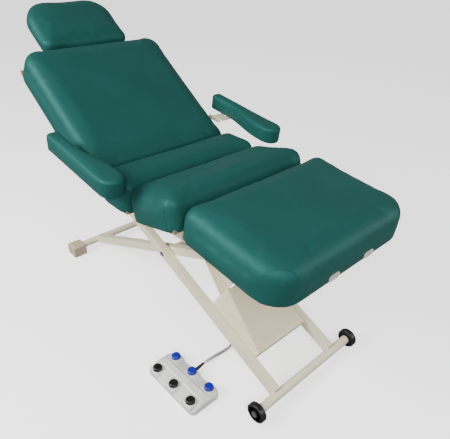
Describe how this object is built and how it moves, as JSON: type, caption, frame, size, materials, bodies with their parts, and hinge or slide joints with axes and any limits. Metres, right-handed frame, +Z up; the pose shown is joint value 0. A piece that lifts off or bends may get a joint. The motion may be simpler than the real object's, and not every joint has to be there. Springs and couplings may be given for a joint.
{
  "type": "examination couch",
  "caption": "Powered treatment couch with raised back, bent knee and leg sections, head rest, arm rests, scissor legs on wheels and blocks, and a wired foot control.",
  "frame": {"origin": "on the floor under the middle of the couch's length and width, foot control cord left out", "axes": "+X to the foot end, +Y across to the side away from the foot control, +Z up"},
  "size_m": [1.9736, 0.984, 1.3104],
  "materials": {
    "upholstery": "satin teal vinyl-coated fabric over foam",
    "frame_paint": "ivory powder coat",
    "cover": "moulded beige",
    "foot_plastic": "warm beige",
    "board": "plywood",
    "steel": "zinc plated",
    "actuator_plastic": "dark grey",
    "wheel_rubber": "black",
    "socket_plastic": "ivory",
    "control_plastic": "off white",
    "button_blue": "blue",
    "button_black": "black",
    "cord_black": "black"
  },
  "bodies": {
    "base": {"wheel_axle": "steel", "foot_control_base": "control_plastic", "foot_control_top": "control_plastic", "cord_boot": "cord_black", "control_cord": "cord_black"},
    "wheel_left": {"wheel_left": "wheel_rubber"},
    "wheel_right": {"wheel_right": "wheel_rubber"},
    "outer_legs": {"outer_leg_left": "frame_paint", "outer_leg_right": "frame_paint", "foot_cross_tube": "frame_paint", "outer_leg_brace": "frame_paint", "middle_pivot_pins": "steel", "motor_cover": "cover", "control_box": "actuator_plastic", "control_gland": "cord_black"},
    "inner_legs": {"inner_leg_left": "frame_paint", "inner_leg_right": "frame_paint", "head_cross_tube": "frame_paint", "lift_crank": "frame_paint"},
    "foot_blocks": {"foot_blocks": "foot_plastic"},
    "carriage_roller_left": {"carriage_roller_left": "actuator_plastic"},
    "carriage_roller_right": {"carriage_roller_right": "actuator_plastic"},
    "carriage": {"carriage_rail_left": "frame_paint", "carriage_rail_right": "frame_paint", "top_pivot_pins": "steel", "rear_cross_member": "frame_paint", "front_cross_member": "frame_paint", "carriage_end_tube": "frame_paint", "rear_seat_board": "board", "rear_seat_cushion": "upholstery"},
    "lift_actuator_body": {"lift_actuator_body": "actuator_plastic"},
    "lift_actuator_rod": {"lift_actuator_rod": "steel"},
    "back": {"back_cushion": "upholstery", "back_board": "board", "back_frame": "frame_paint"},
    "back_actuator_body": {"back_actuator_body": "actuator_plastic"},
    "back_actuator_rod": {"back_actuator_rod": "steel"},
    "head_slide": {"head_rods": "steel"},
    "head_rest": {"head_cushion": "upholstery", "head_plate": "frame_paint"},
    "arm_left": {"arm_cushion_left": "upholstery", "arm_bracket_left": "frame_paint"},
    "arm_right": {"arm_cushion_right": "upholstery", "arm_bracket_right": "frame_paint"},
    "thigh": {"thigh_cushion": "upholstery", "thigh_board": "board", "thigh_frame": "frame_paint"},
    "knee_actuator_body": {"knee_actuator_body": "actuator_plastic"},
    "knee_actuator_rod": {"knee_actuator_rod": "steel"},
    "leg": {"leg_cushion": "upholstery", "leg_board": "board", "leg_frame": "frame_paint", "face_rest_receivers": "socket_plastic"},
    "knee_links": {"knee_links": "frame_paint"},
    "lift_up_button": {"lift_up_button": "button_blue"},
    "lift_down_button": {"lift_down_button": "button_black"},
    "back_up_button": {"back_up_button": "button_blue"},
    "back_down_button": {"back_down_button": "button_black"},
    "knee_up_button": {"knee_up_button": "button_blue"},
    "knee_down_button": {"knee_down_button": "button_black"}
  },
  "joints": [
    {"name": "wheel_left_spin", "type": "hinge", "parent": "base", "child": "wheel_left", "pos_m": [0.87149, 0.301, 0.0425], "axis": [0, 1, 0], "continuous": true},
    {"name": "wheel_right_spin", "type": "hinge", "parent": "base", "child": "wheel_right", "pos_m": [0.87149, -0.301, 0.0425], "axis": [0, 1, 0], "continuous": true},
    {"name": "couch_lift", "type": "hinge", "parent": "base", "child": "outer_legs", "pos_m": [0.87149, 0, 0.0425], "axis": [0, 1, 0], "range_deg": [-10.6, 8.4]},
    {"name": "leg_cross", "type": "hinge", "parent": "outer_legs", "child": "inner_legs", "pos_m": [0.13107, 0, 0.3507], "axis": [0, 1, 0], "range_deg": [-16.82, 21.22]},
    {"name": "foot_level", "type": "hinge", "parent": "inner_legs", "child": "foot_blocks", "pos_m": [-0.60934, 0, 0.0425], "axis": [0, 1, 0], "range_deg": [-10.62, 8.42]},
    {"name": "carriage_level", "type": "hinge", "parent": "outer_legs", "child": "carriage", "pos_m": [-0.37669, 0, 0.56207], "axis": [0, 1, 0], "range_deg": [-8.42, 10.62]},
    {"name": "roller_left_spin", "type": "hinge", "parent": "inner_legs", "child": "carriage_roller_left", "pos_m": [0.63884, 0.174, 0.56207], "axis": [0, 1, 0], "continuous": true},
    {"name": "roller_right_spin", "type": "hinge", "parent": "inner_legs", "child": "carriage_roller_right", "pos_m": [0.63884, -0.174, 0.56207], "axis": [0, 1, 0], "continuous": true},
    {"name": "lift_body_swing", "type": "hinge", "parent": "outer_legs", "child": "lift_actuator_body", "pos_m": [0.66191, 0, 0.15574], "axis": [0, 1, 0], "range_deg": [-1.62, 2.04]},
    {"name": "lift_rod_swing", "type": "hinge", "parent": "inner_legs", "child": "lift_actuator_rod", "pos_m": [0.13017, 0, 0.4802], "axis": [0, 1, 0], "range_deg": [-19.2, 15.22]},
    {"name": "back_tilt", "type": "hinge", "parent": "carriage", "child": "back", "pos_m": [-0.10369, 0, 0.73207], "axis": [0, 1, 0], "range_deg": [-33.6, 36.4]},
    {"name": "back_body_swing", "type": "hinge", "parent": "carriage", "child": "back_actuator_body", "pos_m": [-0.00408, 0.065, 0.51042], "axis": [0, 1, 0], "range_deg": [-16.82, 18.22]},
    {"name": "back_rod_swing", "type": "hinge", "parent": "back", "child": "back_actuator_rod", "pos_m": [-0.34663, 0.065, 0.73758], "axis": [0, 1, 0], "range_deg": [-18.22, 16.82]},
    {"name": "head_slide", "type": "slide", "parent": "back", "child": "head_slide", "axis": [-0.8329, 0, 0.5534], "range_m": [0, 0.08]},
    {"name": "head_tilt", "type": "hinge", "parent": "head_slide", "child": "head_rest", "pos_m": [-0.81145, 0, 1.06183], "axis": [0, 1, 0], "range_deg": [-30, 0]},
    {"name": "arm_left_tilt", "type": "hinge", "parent": "back", "child": "arm_left", "pos_m": [-0.19948, 0.387, 0.79571], "axis": [0, 1, 0], "range_deg": [-38, 60]},
    {"name": "arm_right_tilt", "type": "hinge", "parent": "back", "child": "arm_right", "pos_m": [-0.19948, -0.387, 0.79571], "axis": [0, 1, 0], "range_deg": [-38, 60]},
    {"name": "thigh_tilt", "type": "hinge", "parent": "carriage", "child": "thigh", "pos_m": [0.20531, 0, 0.73207], "axis": [0, -1, 0], "range_deg": [-14.5, 7]},
    {"name": "knee_body_swing", "type": "hinge", "parent": "carriage", "child": "knee_actuator_body", "pos_m": [0.0853, -0.065, 0.51733], "axis": [0, -1, 0], "range_deg": [-7.27, 3.52]},
    {"name": "knee_rod_swing", "type": "hinge", "parent": "thigh", "child": "knee_actuator_rod", "pos_m": [0.43819, -0.065, 0.65279], "axis": [0, -1, 0], "range_deg": [-3.52, 7.27]},
    {"name": "knee_bend", "type": "hinge", "parent": "thigh", "child": "leg", "pos_m": [0.48632, 0, 0.68389], "axis": [0, -1, 0], "range_deg": [-10.17, 21.05]},
    {"name": "knee_link_swing", "type": "hinge", "parent": "carriage", "child": "knee_links", "pos_m": [0.63931, 0, 0.57407], "axis": [0, -1, 0], "range_deg": [-13.27, 6.42]},
    {"name": "lift_up_press", "type": "slide", "parent": "base", "child": "lift_up_button", "axis": [0, 0, -1], "range_m": [0, 0.004], "stiffness_N_per_m": 900},
    {"name": "lift_down_press", "type": "slide", "parent": "base", "child": "lift_down_button", "axis": [0, 0, -1], "range_m": [0, 0.004], "stiffness_N_per_m": 900},
    {"name": "back_up_press", "type": "slide", "parent": "base", "child": "back_up_button", "axis": [0, 0, -1], "range_m": [0, 0.004], "stiffness_N_per_m": 900},
    {"name": "back_down_press", "type": "slide", "parent": "base", "child": "back_down_button", "axis": [0, 0, -1], "range_m": [0, 0.004], "stiffness_N_per_m": 900},
    {"name": "knee_up_press", "type": "slide", "parent": "base", "child": "knee_up_button", "axis": [0, 0, -1], "range_m": [0, 0.004], "stiffness_N_per_m": 900},
    {"name": "knee_down_press", "type": "slide", "parent": "base", "child": "knee_down_button", "axis": [0, 0, -1], "range_m": [0, 0.004], "stiffness_N_per_m": 900}
  ],
  "couplings": [
    {"joint": "leg_cross", "follows": "couch_lift", "ratio": -2},
    {"joint": "foot_level", "follows": "couch_lift", "ratio": 1},
    {"joint": "carriage_level", "follows": "couch_lift", "ratio": -1},
    {"joint": "lift_body_swing", "follows": "couch_lift", "ratio": -0.191},
    {"joint": "lift_rod_swing", "follows": "couch_lift", "ratio": 1.809},
    {"joint": "back_body_swing", "follows": "back_tilt", "ratio": 0.5},
    {"joint": "back_rod_swing", "follows": "back_tilt", "ratio": -0.5},
    {"joint": "knee_body_swing", "follows": "thigh_tilt", "ratio": 0.5},
    {"joint": "knee_rod_swing", "follows": "thigh_tilt", "ratio": -0.5},
    {"joint": "knee_bend", "follows": "thigh_tilt", "ratio": -1.45},
    {"joint": "knee_link_swing", "follows": "thigh_tilt", "ratio": 0.914}
  ]
}
